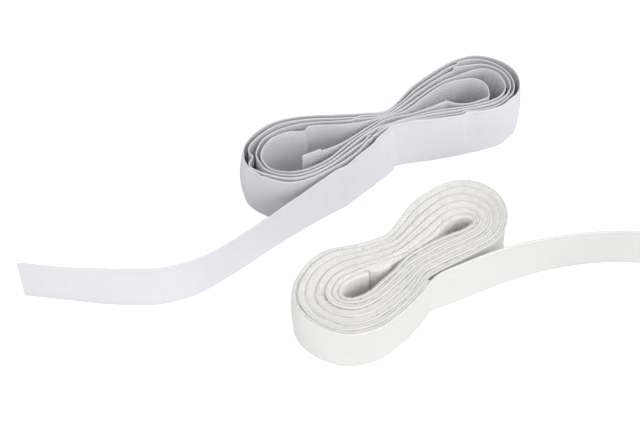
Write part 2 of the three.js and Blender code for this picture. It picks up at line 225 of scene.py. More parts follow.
LOOP_DENTS = (
    (6, -0.45, -2.9, -0.6, 14, 14, "middle", ROUND),
    (6, 0.45, -3.92, 0.3, 10, 10, "all", ROUND),
    (5, 3.45, -0.8, 0.5, 12, 12, "middle", ROUND),
)


# Shape of the tapes

ROUTE_STEP = 0.4 * MM  # between two points of a route
JUNCTION_SHARE = 0.4  # of that step where the loose end starts
CALM_REACH = 30 * MM  # of the loose end, over which the ripple fades
RIPPLE_ROOM = 1.6 * MM  # that a turn needs to ripple fully
LEAST_RIPPLE = 0.12  # share left where it has no room
SHARP_REACH = 4  # mm, below which a bend counts as a crease
NEXT_TURN = 14 * MM  # along the tape, past which a near point is on another turn
BESIDE = 0.9 * MM  # along the tape, within which a point lies beside another
FREE_ROOM = 12 * MM  # where no turn lies beside


class Strip:
    """One tape: its two edges seen from above, and everything measured along it."""

    def __init__(self, upper, lower, turns, junction, side, dents, seed, ripple):
        self.upper, self.lower, self.side = upper, lower, side
        middle = (upper + lower) / 2
        self.along = np.concatenate(
            ([0], np.cumsum(np.linalg.norm(np.diff(middle, axis=0), axis=1)))
        )
        self.split = self.along[junction]
        self.length = self.along[-1]
        self.left_upper, self.left_lower = left_of(upper), left_of(lower)
        free = np.clip((self.along - self.split) / CALM_REACH, 0, 1)
        self.shift = {where: np.zeros(len(self.along)) for where in ACROSS}
        room = np.minimum(self.room_on(side, 0.5), self.room_on(-side, 0.5))
        size = ripple * np.clip(room / RIPPLE_ROOM, LEAST_RIPPLE, 1) * (1 - 0.6 * free)

        def wave(step, part):
            return smooth_noise(self.along / (step * MM), seed * 7 + part)

        self.shift["all"] += size * (0.6 * wave(17, 1) + 0.25 * wave(4.2, 2))
        self.shift["top"] += size * 0.8 * wave(11, 3)
        self.shift["bottom"] += size * 0.3 * wave(13, 4)
        self.shift["middle"] += size * 0.5 * wave(15, 5)
        self.lift = (0.55 * wave(38, 6) - 0.1) * 0.6 * MM * (1 - free)
        self.creases = []
        for turn, x, y, rise, before, after, where, power in dents:
            spot = np.array((x, y)) * TAPE_WIDTH + PLAN_SHIFT
            apart = np.linalg.norm(upper - spot, axis=1) + (turns != turn)
            centre = self.along[np.argmin(apart)]
            off = self.along - centre
            reach = np.where(off < 0, before, after) * MM
            bend = rise * MM * np.exp(-np.abs(off / reach) ** power)
            if where == "height":
                self.lift = self.lift + bend
            else:
                self.shift[where] += bend
            if min(before, after) < SHARP_REACH:
                self.creases.append(centre)
        self.rooms = [self.room_on(side, share) for share in (0, 0.5, 1)]
        # Where the innermost turn ends, and where the next one passes the tape's inner end
        self.inmost = self.along[np.argmax(turns == 1)]
        apart = np.linalg.norm(upper - upper[0], axis=1) + (turns != 1)
        self.covered = self.along[np.argmin(apart)]

    def plan(self, share):
        """The whole tape seen from above, at one share of its width."""
        left = self.left_lower * (1 - share) + self.left_upper * share
        bend = sum(shift * ACROSS[where](np.array(share)) for where, shift in self.shift.items())
        return self.lower * (1 - share) + self.upper * share + left * bend[:, None]

    def room_on(self, side, share):
        """Free distance square to the tape on one side, up to its next turn."""
        line, along = self.plan(share)[::3], self.along[::3]
        left = left_of(line)
        ahead = np.stack((left[:, 1], -left[:, 0]), axis=1)
        gap = line[None] - line[:, None]
        across = np.einsum("ijk,ik->ij", gap, left) * side
        onward = np.abs(np.einsum("ijk,ik->ij", gap, ahead))
        apart = np.abs(along[None] - along[:, None])
        near = (apart > NEXT_TURN) & (across > 0) & (onward < BESIDE)
        room = np.where(near, across, FREE_ROOM).min(axis=1)
        low = np.min([np.roll(room, step) for step in range(-2, 3)], axis=0)
        low = np.convolve(np.pad(low, 2, mode="edge"), np.ones(5) / 5, mode="valid")
        return np.interp(self.along, along, low)

    def room_at(self, along, height):
        """Free distance on the field's side, at lengths along the tape and heights up it."""
        bottom, middle, top = (self.at(room, along) for room in self.rooms)
        share = height / TAPE_WIDTH * 2
        return np.where(share < 1, bottom * (1 - share) + middle * share,
                        middle * (2 - share) + top * (share - 1))

    def at(self, values, along):
        """Values of the route's own points, read off at other lengths along it."""
        if values.ndim == 1:
            return np.interp(along, self.along, values)
        return np.stack(
            [np.interp(along, self.along, column) for column in values.T], axis=-1
        )

    def place(self, along, height, offset):
        """Points at a length along the tape, a height up its width and an offset to its left."""
        share = (height / TAPE_WIDTH)[..., None]
        upper, lower = self.at(self.upper, along), self.at(self.lower, along)
        left = self.at(self.left_lower, along) * (1 - share)
        left = left + self.at(self.left_upper, along) * share
        bend = sum(self.at(shift, along) * ACROSS[where](share[..., 0])
                   for where, shift in self.shift.items())
        plan = lower * (1 - share) + upper * share + left * (offset + bend)[..., None]
        tall = height + self.at(self.lift, along) * share[..., 0]
        return np.concatenate((plan, tall[..., None]), axis=-1)

    def directions(self, along):
        """Unit vectors along the tape and square to it on the field's side."""
        left = self.at((self.left_upper + self.left_lower) / 2, along)
        left = left / np.linalg.norm(left, axis=-1, keepdims=True)
        zero = np.zeros(left.shape[:-1])
        ahead = np.stack((left[..., 1], -left[..., 0], zero), axis=-1)
        out = np.stack((left[..., 0], left[..., 1], zero), axis=-1) * self.side
        return ahead, out


# How strong a bend is from the tape's lower edge, 0, to its upper edge, 1
ACROSS = {
    "all": lambda share: np.ones_like(share),
    "top": lambda share: share**2,
    "bottom": lambda share: (1 - share) ** 2,
    "middle": lambda share: 4 * share * (1 - share),
}


def smooth_noise(place, seed):
    """Smooth values between -1 and 1 that change over one unit of place."""
    values = np.random.default_rng(seed).uniform(-1, 1, int(np.max(place)) + 4)
    cell = np.floor(place).astype(int)
    part = place - cell
    part = part * part * (3 - 2 * part)
    return values[cell] * (1 - part) + values[cell + 1] * part


def left_of(line):
    """Unit vectors to the left of a line, seen from above."""
    step = np.empty_like(line)
    step[1:-1] = line[2:] - line[:-2]
    step[0], step[-1] = line[1] - line[0], line[-1] - line[-2]
    step /= np.linalg.norm(step, axis=1, keepdims=True)
    return np.stack((-step[:, 1], step[:, 0]), axis=1)


def crossings(outermost, opposite, count, pitch):
    """Where the strands of one side cross the waist, from the innermost one outwards."""
    outermost = np.array(outermost) * TAPE_WIDTH
    inward = np.array(opposite) * TAPE_WIDTH - outermost
    inward /= np.linalg.norm(inward)
    return [outermost + inward * pitch * (count - 1 - strand) for strand in range(count)]


def one_pass(table, level):
    """One pass round a lobe, between the table's two routes."""
    table = np.array(table) * TAPE_WIDTH
    return list(table[:, :2] * (1 - level) + table[:, 2:] * level)


def hook_lean(points):
    """How far the lower edge stands out in front of the upper one."""
    across = (points[:, 0] - HOOK_WAIST[1][0] * TAPE_WIDTH) / HOOK_LEAN_SPAN
    lean = HOOK_LEAN + HOOK_WAIST_LEAN * np.exp(-across * across)
    return np.stack((np.zeros_like(lean), lean), axis=1)


def hook_route():
    """Both edges at each bend of the route, and the turn that each bend belongs to."""
    back = crossings(*HOOK_WAIST, HOOK_PASSES, HOOK_PITCH)
    front = crossings(*HOOK_WAIST[::-1], HOOK_PASSES, HOOK_PITCH)
    upper = [np.array(point) * TAPE_WIDTH for point in HOOK_LEAD]
    turns = [LEAD] * len(upper)
    for turn in range(HOOK_PASSES):
        upper.append(back[turn])
        if turn == 0:
            upper += [np.array(point) * TAPE_WIDTH for point in HOOK_FIRST]
        else:
            upper += one_pass(HOOK_RIGHT, (turn - 1) / (HOOK_PASSES - 2))
        upper.append(front[turn])
        if turn < HOOK_PASSES - 1:
            upper += one_pass(HOOK_LEFT, turn / (HOOK_PASSES - 2))
        turns += [turn] * (len(upper) - len(turns))
    upper = np.array(upper)
    return with_tail(upper, upper - hook_lean(upper), turns, HOOK_TAIL)


def loop_route():
    """The same for the loop tape, whose inner end lies on the left lobe's front."""
    back = crossings(*LOOP_WAIST, LOOP_PASSES - 1, LOOP_PITCH)
    front = crossings(*LOOP_WAIST[::-1], LOOP_PASSES, LOOP_PITCH)
    upper, turns = [], []
    for turn in range(LOOP_PASSES):
        upper += one_pass(LOOP_LEFT, LOOP_LEFT_LEVELS[turn])[LOOP_START if turn == 0 else 0:]
        upper.append(front[turn])
        if turn < LOOP_PASSES - 1:
            upper += one_pass(LOOP_RIGHT, turn / (LOOP_PASSES - 2))
            upper.append(back[turn])
        turns += [turn] * (len(upper) - len(turns))
    upper = np.array(upper)
    return with_tail(upper, upper - LOOP_LEAN, turns, LOOP_TAIL)


def with_tail(upper, lower, turns, table):
    """The wound part and the loose end as one route, and the index of the bend between them."""
    tail = np.array(table) * TAPE_WIDTH
    turns = np.array(turns + [TAIL] * len(tail))
    return np.vstack((upper, tail[:, :2])), np.vstack((lower, tail[:, 2:])), turns, len(upper) - 1


def smooth(upper, lower, turns, junction):
    """Both edges as smooth lines, their turns, and the index at which the loose end starts."""
    spans = np.linalg.norm(np.diff((upper + lower) / 2, axis=0), axis=1)
    fine = np.where(np.abs(np.arange(len(spans)) - junction + 0.5) < 1, JUNCTION_SHARE, 1)
    counts = np.maximum(2, np.ceil(spans / (ROUTE_STEP * fine)).astype(int))
    lines = []
    for edge in (upper, lower):
        edge = np.vstack((2 * edge[0] - edge[1], edge, 2 * edge[-1] - edge[-2]))
        points = []
        for index, count in enumerate(counts):
            before, start, end, after = edge[index:index + 4]
            share = (np.arange(count) / count)[:, None]
            slope, next_slope, rise = (end - before) / 2, (after - start) / 2, end - start
            points.append(start + share * (slope + share * (
                3 * rise - 2 * slope - next_slope + share * (slope + next_slope - 2 * rise))))
        points.append(edge[-2:-1])
        lines.append(np.vstack(points) + PLAN_SHIFT)
    turns = np.append(np.repeat(turns[:-1], counts), turns[-1])
    return lines[0], lines[1], turns, int(counts[:junction].sum())


@functools.cache
def hook_strip():
    """The hook tape, with its hooks on the right of its route."""
    return Strip(*smooth(*hook_route()), side=-1, dents=HOOK_DENTS, seed=11, ripple=0.26 * MM)


@functools.cache
def loop_strip():
    """The loop tape, with its loops on the left of its route."""
    return Strip(*smooth(*loop_route()), side=1, dents=LOOP_DENTS, seed=23, ripple=0.3 * MM)


SEAM, SEAM_RINGS = 3 * MM, 12
AROUND_CREASE = np.arange(-2.6, 2.7, 0.35) * MM
LEAST_STEP, LEAST_END_STEP = 0.17 * MM, 0.1 * MM


def stations(strip, wound, step):
    """Lengths along the wound part or the loose end, closer together at creases and where the
    two parts meet."""
    start, end = (0, strip.split) if wound else (strip.split, strip.length)
    far, near = (start, end - SEAM) if wound else (start + SEAM, end)
    seam = (near, end) if wound else (start, far)
    places = [np.linspace(far, near, max(2, round((near - far) / step))),
              np.linspace(*seam, SEAM_RINGS)]
    places += [centre + AROUND_CREASE for centre in strip.creases]
    places = np.sort(np.concatenate(places))
    places = places[(places > start) & (places < end)]
    places = places[np.diff(places, prepend=-1) > LEAST_STEP]
    places = places[(places > start + LEAST_END_STEP) & (places < end - LEAST_END_STEP)]
    return np.concatenate(([start], places, [end]))


# Meshes

SHARP_ANGLE = math.radians(62)
BAKE_FILL = 0.97  # share of its cell in the bake layout that a surface fills


def new_mesh_object(name, points, faces, runs, bake, material):
    """A piece with two UV maps: metres along and round the tape, and the bake layout."""
    mesh = bpy.data.meshes.new(name)
    mesh.from_pydata(points, [], faces)
    for layer_name, values in (("TapeRun", runs), ("OFBake", bake)):
        layer = mesh.uv_layers.new(name=layer_name)
        layer.uv.foreach_set("vector", np.asarray(values, np.float32).ravel())
    mesh.uv_layers.active = mesh.uv_layers["TapeRun"]
    mesh.polygons.foreach_set("use_smooth", np.ones(len(faces), bool))
    mesh.materials.append(material)
    mesh.update()
    if mesh.validate():
        raise RuntimeError(f"{name} has faulty faces")
    piece = bpy.data.objects.new(name, mesh)
    bpy.context.scene.collection.objects.link(piece)
    return piece


def ribbon(name, strip, along, section, material, roughen=None):
    """A closed band swept along the tape through a section of (height, offset) points.

    The section starts at its lowest point, climbs one face and comes back down the other."""
    heights, offsets = section
    around, rings = len(heights), len(along)
    grid_along = np.repeat(along[:, None], around, axis=1)
    grid_height = np.repeat(heights[None], rings, axis=0)
    grid_offset = np.repeat(offsets[None], rings, axis=0) if offsets.ndim == 1 else offsets
    if roughen is not None:
        grid_height, grid_offset = roughen(grid_along, grid_height, grid_offset)
    points = strip.place(grid_along, grid_height, grid_offset).reshape(-1, 3)

    first = (np.arange(rings - 1)[:, None] * around + np.arange(around)[None]).ravel()
    following = (
        np.arange(rings - 1)[:, None] * around + (np.arange(around)[None] + 1) % around
    ).ravel()
    sides = np.stack((first, following, following + around, first + around), axis=1)
    half = around // 2
    cap = [(0, 1, around - 1), (half - 1, half, half + 1)]
    cap += [(row, row + 1, around - 1 - row, around - row) for row in range(1, half - 1)]
    last = (rings - 1) * around
    start_cap = [face[::-1] for face in cap]
    end_cap = [tuple(last + corner for corner in face) for face in cap]
    faces = sides.tolist() + start_cap + end_cap

    girth = np.concatenate(
        ([0], np.cumsum(np.hypot(np.diff(heights, append=heights[0]),
                                 np.diff(np.mean(grid_offset, axis=0),
                                         append=np.mean(grid_offset[:, 0])))))
    )
    low, high = girth[:-1], girth[1:]
    run = np.empty((rings - 1, around, 4, 2))
    run[:, :, :, 0] = np.stack(
        (along[:-1], along[:-1], along[1:], along[1:]), axis=1)[:, None, :]
    run[:, :, :, 1] = np.stack((low, high, high, low), axis=1)[None]

    rows = max(1, round(math.sqrt((along[-1] - along[0]) / girth[-1])))
    row = np.minimum(np.arange(rings - 1) * rows // (rings - 1), rows - 1)
    starts = np.array([along[np.argmax(row == index)] for index in range(rows)])
    longest = max(
        along[np.flatnonzero(row == index)[-1] + 1] - starts[index] for index in range(rows)
    )
    bake = run.copy()
    bake[..., 0] = (run[..., 0] - starts[row][:, None, None]) / longest * BAKE_FILL + 0.005
    bake[..., 1] = (row[:, None, None] + run[..., 1] / girth[-1] * BAKE_FILL + 0.01) / rows
    cap_run, cap_bake = [], []
    for index, caps in enumerate((start_cap, end_cap)):
        for face in caps:
            for corner in face:
                place = corner % around
                middle = grid_offset[0, place] / girth[-1]
                cap_run.append((along[-index], heights[place]))
                cap_bake.append((0.985 + 0.006 * index + middle, heights[place] / TAPE_WIDTH * 0.9))
    runs = np.vstack((run.reshape(-1, 2), cap_run))
    bakes = np.vstack((bake.reshape(-1, 2), cap_bake))
    if signed_volume(points, sides) < 0:
        faces, runs, bakes = flipped(faces, runs, bakes)
    piece = new_mesh_object(name, points, faces, runs, bakes, material)
    piece.data.set_sharp_from_angle(angle=SHARP_ANGLE)
    return piece


def signed_volume(points, quads):
    """Below zero where the faces look inwards."""
    a, b, c, d = (points[quads[:, corner]] for corner in range(4))
    halves = np.einsum("ij,ij->i", a, np.cross(b, c)) + np.einsum("ij,ij->i", a, np.cross(c, d))
    return halves.sum()


def flipped(faces, runs, bakes):
    """The same faces and both UV maps, with each face turned over."""
    turned, order, start = [], [], 0
    for face in faces:
        turned.append(face[::-1])
        order.extend(range(start + len(face) - 1, start - 1, -1))
        start += len(face)
    return turned, runs[order], bakes[order]


def tubes(name, lines, across, radius, along, material):
    """Thin closed three-sided tubes along many short lines, with a unit vector across each."""
    count, length = lines.shape[:2]
    tangent = np.gradient(lines, axis=1)
    tangent /= np.linalg.norm(tangent, axis=2, keepdims=True)
    second = np.cross(tangent, across[:, None])
    second /= np.linalg.norm(second, axis=2, keepdims=True)
    first = np.cross(second, tangent)
    points = np.empty((count, length, 3, 3))
    for corner in range(3):
        angle = math.tau * corner / 3
        points[:, :, corner] = lines + radius[..., None] * (
            first * math.cos(angle) + second * math.sin(angle))
    one = []
    for step in range(length - 1):
        for corner in range(3):
            here, onward = step * 3 + corner, step * 3 + (corner + 1) % 3
            one.append((here, onward, onward + 3, here + 3))
    one = np.array(one)
    size = length * 3
    quads = (np.arange(count)[:, None, None] * size + one[None]).reshape(-1, 4)
    ends = np.array(((2, 1, 0), (size - 3, size - 2, size - 1)))
    caps = (np.arange(count)[:, None, None] * size + ends[None]).reshape(-1, 3)
    faces = quads.tolist() + caps.tolist()

    cells = math.ceil(math.sqrt(count))
    index = np.arange(count)
    corner_low = np.stack((index % cells, index // cells), axis=1) / cells
    cell = np.array([
        [(corner + at) / 3.4, (step + up) / (length - 1)]
        for step in range(length - 1)
        for corner in range(3)
        for at, up in ((0, 0), (1, 0), (1, 1), (0, 1))
    ])
    cap_cell = np.array([(0.9, 0.1), (0.95, 0.1), (0.9, 0.2), (0.9, 0.8), (0.95, 0.8), (0.9, 0.9)])
    bake = np.vstack([
        (corner_low[:, None] + part[None] * 0.9 / cells).reshape(-1, 2) for part in (cell, cap_cell)
    ])
    runs = np.vstack([
        np.stack((np.repeat(along, len(part)), np.tile(part[:, 1], count)), axis=1)
        for part in (cell, cap_cell)
    ])
    flat = points.reshape(-1, 3)
    if signed_volume(flat, quads) < 0:
        faces, runs, bake = flipped(faces, runs, bake)
    return new_mesh_object(name, flat, faces, runs, bake, material)


def ground_section(strip, thickness, selvage, selvage_width):
    """Woven ground: thin in the middle, with a rounded, slightly thicker selvage on each edge."""
    edge = selvage / 2
    near = np.array((0.0, 0.07, 0.3, 0.75)) * edge
    rounded = np.sqrt(np.maximum(edge**2 - (edge - near) ** 2, 0))
    far = edge + (selvage_width - edge) * np.array((0, 0.25, 0.5, 0.7, 0.85, 1, 1.25))
    drop = np.clip((far - edge) / (selvage_width - edge), 0, 1) ** 3
    flat = edge + (thickness / 2 - edge) * drop
    rows = np.linspace(far[-1], TAPE_WIDTH / 2, 8)[1:]
    distance = np.concatenate((near, far, rows))
    half = np.concatenate((rounded, flat, np.full(len(rows), thickness / 2)))
    heights = np.concatenate((distance, TAPE_WIDTH - distance[-2::-1]))
    halves = np.concatenate((half, half[-2::-1]))
    height = np.concatenate((heights, heights[-2:0:-1]))
    offset = np.concatenate((-strip.side * halves, strip.side * halves[-2:0:-1]))
    return height, offset


# A hook's bend in shares of its height: along the tape, and out from the ground
HOOK_SHAPE = np.array((
    (-0.04, -0.12), (0.0, 0.6), (0.12, 0.94), (0.4, 0.98), (0.55, 0.66),
))
CURL_POINTS = 5


def hook_lines(strip, along, height, foot, tall, rng):
    """Bent monofilament hooks that lean over along the tape, one way or the other."""
    ahead, out = strip.directions(along)
    base = strip.place(along, height, np.full(len(along), strip.side * foot))
    way = np.where(rng.random(len(along)) < 0.5, -1.0, 1.0)[:, None]
    turn = rng.normal(0, 0.16, len(along))[:, None]
    lean = ahead * way * np.cos(turn) + UP * np.sin(turn)
    uneven = 1 + rng.normal(0, 0.05, len(along))
    tall = (tall * uneven)[:, None, None]
    lines = (base[:, None] + lean[:, None] * HOOK_SHAPE[None, :, :1] * tall
             + out[:, None] * HOOK_SHAPE[None, :, 1:] * tall)
    across = np.cross(lean, out)
    return lines, across / np.linalg.norm(across, axis=1, keepdims=True)


def curl_lines(base, out, side, size, rng):
    """Small arches of brushed yarn that rise from base along out."""
    count = len(base)
    aside = np.cross(out, side)
    angle = rng.uniform(0, math.tau, count)[:, None]
    width = side * np.cos(angle) + aside * np.sin(angle)
    tilt = np.cross(width, out) * rng.normal(0, 0.5, count)[:, None]
    share = np.linspace(0, 1, CURL_POINTS)
    reach = (size * rng.uniform(0.7, 1.25, count))[:, None, None]
    spread = rng.uniform(0.5, 1.0, count)[:, None, None]
    lines = base[:, None] + reach * (
        width[:, None] * (spread * -np.cos(math.pi * share)[None, :, None])
        + (out + tilt)[:, None] * (1.15 * np.sin(math.pi * share)[None, :, None] - 0.2)
        + np.cross(width, out)[:, None] * (0.35 * np.sin(math.tau * share)[None, :, None])
    )
    across = np.cross(width, out + tilt)
    return lines, across / np.linalg.norm(across, axis=1, keepdims=True)


# Materials

WEAVE_BUMP, WEAVE_RELIEF = 0.55, 0.12 * MM
PICK_WANDER = 1.6  # how far picks leave their even spacing, in spacings
SELVAGE_LINE = 0.22 * MM  # half the width of the line inside each selvage
EDGE_HIGHLIGHT_START, EDGE_HIGHLIGHT_BAND = 1.4, 0.6 * MM  # of the painted highlight along the tape's rims: its strength and how soon it fades


def node(tree, kind, place, **values):
    made = tree.nodes.new(kind)
    made.location = place
    for key, value in values.items():
        setattr(made, key, value)
    return made


def maths(tree, operation, place, *inputs, clamp=False):
    """A Math node whose inputs are sockets or plain numbers; gives its result."""
    made = node(tree, "ShaderNodeMath", place, operation=operation, use_clamp=clamp)
    for index, value in enumerate(inputs):
        if isinstance(value, bpy.types.NodeSocket):
            tree.links.new(value, made.inputs[index])
        else:
            made.inputs[index].default_value = value
    return made.outputs[0]


def mixed_colour(tree, place, share, first, second):
    """From the first colour to the second one by share; gives the result."""
    made = node(tree, "ShaderNodeMix", place, data_type="RGBA")
    for index, value in ((0, share), (6, first), (7, second)):
        if isinstance(value, bpy.types.NodeSocket):
            tree.links.new(value, made.inputs[index])
        else:
            made.inputs[index].default_value = value
    return made.outputs[2]


def new_group(name, inputs, outputs):
    group = bpy.data.node_groups.new(name, "ShaderNodeTree")
    for label, kind, default in inputs:
        socket = group.interface.new_socket(label, in_out="INPUT", socket_type=kind)
        if default is not None:
            socket.default_value = default
    for label, kind in outputs:
        group.interface.new_socket(label, in_out="OUTPUT", socket_type=kind)
    start = node(group, "NodeGroupInput", (-1200, 0))
    end = node(group, "NodeGroupOutput", (900, 0))
    return group, start, end


def weave_group():
    """Plain weave of fine yarns with a ribbed selvage and the line inside it: its height, and
    masks of the gaps between yarns, for painted shade, and of the tape's rims, for a painted
    highlight."""
    group = bpy.data.node_groups.get("Narrow Weave")
    if group:
        return group
    group, start, end = new_group(
        "Narrow Weave",
        (("Run", "NodeSocketVector", None), ("Pick Spacing", "NodeSocketFloat", 0.6 * MM),
         ("Yarn Spacing", "NodeSocketFloat", 0.5 * MM),
         ("Tape Width", "NodeSocketFloat", TAPE_WIDTH),
         ("Selvage Width", "NodeSocketFloat", 1.5 * MM)),
        (("Height", "NodeSocketFloat"), ("Gap", "NodeSocketFloat"), ("Edge", "NodeSocketFloat")),
    )
    parts = node(group, "ShaderNodeSeparateXYZ", (-1000, 0))
    group.links.new(start.outputs["Run"], parts.inputs[0])
    along, across = parts.outputs[0], parts.outputs[1]
    wander = node(group, "ShaderNodeTexNoise", (-1000, -300), noise_dimensions="2D")
    wander.inputs["Scale"].default_value = 300
    wander.inputs["Detail"].default_value = 2
    group.links.new(start.outputs["Run"], wander.inputs["Vector"])
    off = maths(group, "MULTIPLY_ADD", (-800, -300), wander.outputs["Fac"],
                PICK_WANDER, -PICK_WANDER / 2)
    pick = maths(group, "DIVIDE", (-800, 100), along, start.outputs["Pick Spacing"])
    pick = maths(group, "ADD", (-640, 100), pick, off)
    yarn = maths(group, "DIVIDE", (-800, -60), across, start.outputs["Yarn Spacing"])
    pick_wave = maths(group, "SINE", (-480, 100),
                      maths(group, "MULTIPLY", (-480, 180), pick, math.pi))
    yarn_wave = maths(group, "SINE", (-480, -60),
                      maths(group, "MULTIPLY", (-480, -140), yarn, math.pi))
    weave = maths(group, "MULTIPLY", (-300, 20), pick_wave, yarn_wave)
    ribs = maths(group, "ABSOLUTE", (-300, 140), pick_wave)
    edge = maths(group, "PINGPONG", (-640, -420), across,
                 maths(group, "MULTIPLY", (-800, -520), start.outputs["Tape Width"], 0.5))
    selvage = maths(group, "LESS_THAN", (-460, -420), edge, start.outputs["Selvage Width"])
    line = maths(group, "SUBTRACT", (-460, -560), edge, start.outputs["Selvage Width"])
    line = maths(group, "ABSOLUTE", (-300, -560), line)
    line = maths(group, "DIVIDE", (-140, -560), line, SELVAGE_LINE)
    line = maths(group, "SUBTRACT", (20, -560), 1.0, line, clamp=True)
    inner = maths(group, "MULTIPLY_ADD", (-100, 20), weave, 0.5, 0.5)
    outer = maths(group, "MULTIPLY", (-100, 140), ribs, 0.9)
    mixed = node(group, "ShaderNodeMix", (100, 60), data_type="FLOAT")
    group.links.new(selvage, mixed.inputs[0])
    group.links.new(inner, mixed.inputs[2])
    group.links.new(outer, mixed.inputs[3])
    height = maths(group, "MULTIPLY_ADD", (300, 60), line, -0.9, mixed.outputs[0])
    gap = maths(group, "SUBTRACT", (500, -60), 1.0, height, clamp=True)
    group.links.new(height, end.inputs["Height"])
    group.links.new(gap, end.inputs["Gap"])
    # Mask of the rims, where the ground material paints a highlight
    rim = maths(group, "DIVIDE", (300, -420), edge, EDGE_HIGHLIGHT_BAND)
    rim = maths(group, "SUBTRACT", (500, -420), EDGE_HIGHLIGHT_START, rim, clamp=True)
    group.links.new(rim, end.inputs["Edge"])
    return group


def tone_group():
    """Slow changes of tone along a tape: faint bars of painted shade across it, standing in for the
    light on small kinks, and a soft cloud of tone over them.
    """
    group = bpy.data.node_groups.get("Shade Bars and Tone Cloud")
    if group:
        return group
    group, start, end = new_group(
        "Shade Bars and Tone Cloud",
        (("Run", "NodeSocketVector", None), ("Colour", "NodeSocketColor", (0.8, 0.8, 0.8, 1)),
         ("Shade", "NodeSocketColor", (0.7, 0.7, 0.7, 1)), ("Bars", "NodeSocketFloat", 0.3),
         ("Cloud", "NodeSocketFloat", 0.3), ("Gap", "NodeSocketFloat", 0.0)),
        (("Colour", "NodeSocketColor"), ("Tone", "NodeSocketFloat")),
    )
    stretch = node(group, "ShaderNodeVectorMath", (-1000, 200), operation="MULTIPLY")
    stretch.inputs[1].default_value = (420, 45, 1)
    group.links.new(start.outputs["Run"], stretch.inputs[0])
    # Painted shade: bars across the tape, lighter and darker as if small kinks caught the light
    bars = node(group, "ShaderNodeTexNoise", (-800, 200), noise_dimensions="2D")
    bars.inputs["Scale"].default_value = 1
    bars.inputs["Detail"].default_value = 2
    group.links.new(stretch.outputs[0], bars.inputs["Vector"])
    cloud = node(group, "ShaderNodeTexNoise", (-800, -100), noise_dimensions="2D")
    cloud.inputs["Scale"].default_value = 60
    cloud.inputs["Detail"].default_value = 3
    group.links.new(start.outputs["Run"], cloud.inputs["Vector"])
    first = maths(group, "MULTIPLY", (-560, 200), bars.outputs["Fac"], start.outputs["Bars"])
    second = maths(group, "MULTIPLY", (-560, -100), cloud.outputs["Fac"], start.outputs["Cloud"])
    tone = maths(group, "ADD", (-360, 60), first, second)
    tone = maths(group, "ADD", (-180, 60), tone, start.outputs["Gap"], clamp=True)
    colour = mixed_colour(
        group, (100, 60), tone, start.outputs["Colour"], start.outputs["Shade"])
    group.links.new(colour, end.inputs["Colour"])
    group.links.new(tone, end.inputs["Tone"])
    return group


def new_material(name, roughness, sheen, specular):
    material = bpy.data.materials.new(name)
    material.use_nodes = True
    tree = material.node_tree
    shader = tree.nodes["Principled BSDF"]
    shader.inputs["Roughness"].default_value = roughness
    shader.inputs["Sheen Weight"].default_value = sheen
    shader.inputs["Sheen Roughness"].default_value = 0.5
    shader.inputs["Specular IOR Level"].default_value = specular
    run = node(tree, "ShaderNodeUVMap", (-1100, 0), uv_map="TapeRun")
    return material, tree, shader, run.outputs[0]


def rgba(colour):
    return (*colour, 1)


def toned(tree, run, colour, shade, bars, cloud):
    """The tone group, placed in a material with its own values."""
    tone = node(tree, "ShaderNodeGroup", (-450, 200), node_tree=tone_group())
    tree.links.new(run, tone.inputs["Run"])
    tone.inputs["Colour"].default_value = rgba(colour)
    tone.inputs["Shade"].default_value = rgba(shade)
    tone.inputs["Bars"].default_value = bars
    tone.inputs["Cloud"].default_value = cloud
    return tone


def ground_material(name, look, pick, yarn, mottle, roughness):
    """Dull woven yarn: toned along the tape, with painted shade between yarns and a painted
    highlight along its edges.
    """
    material, tree, shader, run = new_material(name, roughness, sheen=0.25, specular=0.25)
    weave = node(tree, "ShaderNodeGroup", (-850, -200), node_tree=weave_group())
    tree.links.new(run, weave.inputs["Run"])
    weave.inputs["Pick Spacing"].default_value = pick
    weave.inputs["Yarn Spacing"].default_value = yarn
    weave.inputs["Tape Width"].default_value = TAPE_WIDTH
    weave.inputs["Selvage Width"].default_value = look.selvage_width
    tone = toned(tree, run, look.ground_colour, look.ground_shade, mottle, mottle)
    # Painted shade: the tone darkens where the weave dips between yarns
    tree.links.new(maths(tree, "MULTIPLY", (-600, -60), weave.outputs["Gap"], 0.22),
                   tone.inputs["Gap"])
    # Painted highlight: the rims turn towards the paler edge colour, standing in for light on the
    # edges
    colour = mixed_colour(tree, (-200, 200), weave.outputs["Edge"], tone.outputs["Colour"],
                          rgba(look.edge_highlight_colour))
    tree.links.new(colour, shader.inputs["Base Color"])
    rough = maths(tree, "MULTIPLY_ADD", (-450, -60), weave.outputs["Gap"], 0.15, roughness)
    tree.links.new(rough, shader.inputs["Roughness"])
    bumps = node(tree, "ShaderNodeBump", (-300, -300))
    bumps.inputs["Strength"].default_value = WEAVE_BUMP
    bumps.inputs["Distance"].default_value = WEAVE_RELIEF
    tree.links.new(weave.outputs["Height"], bumps.inputs["Height"])
    tree.links.new(bumps.outputs[0], shader.inputs["Normal"])
    return material


def yarn_material(name, colour, shade, roughness, sheen, specular):
    """Hooks, loops and pile: toned from place to place."""
    material, tree, shader, run = new_material(name, roughness, sheen, specular)
    tone = toned(tree, run, colour, shade, bars=0.25, cloud=0.6)
    tree.links.new(tone.outputs["Colour"], shader.inputs["Base Color"])
    rough = maths(tree, "MULTIPLY_ADD", (-250, -60), tone.outputs["Tone"], 0.12, roughness)
    tree.links.new(rough, shader.inputs["Roughness"])
    return material


def material_once(name, make, *colours, **settings):
    return bpy.data.materials.get(name) or make(name, *colours, **settings)


def loop_material(look):
    return material_once("Brushed loop yarn", yarn_material, look.pile_colour, look.pile_shade,
                         roughness=0.9, sheen=0.4, specular=0.15)


# Settings

def length_property(name, description, default):
    return FloatProperty(name=name, description=description, default=default, min=0,
                         soft_max=0.01, unit="LENGTH", precision=5)


def colour_property(name, description, default):
    return FloatVectorProperty(name=name, description=description, default=default,
                               size=3, min=0, max=1, subtype="COLOR")


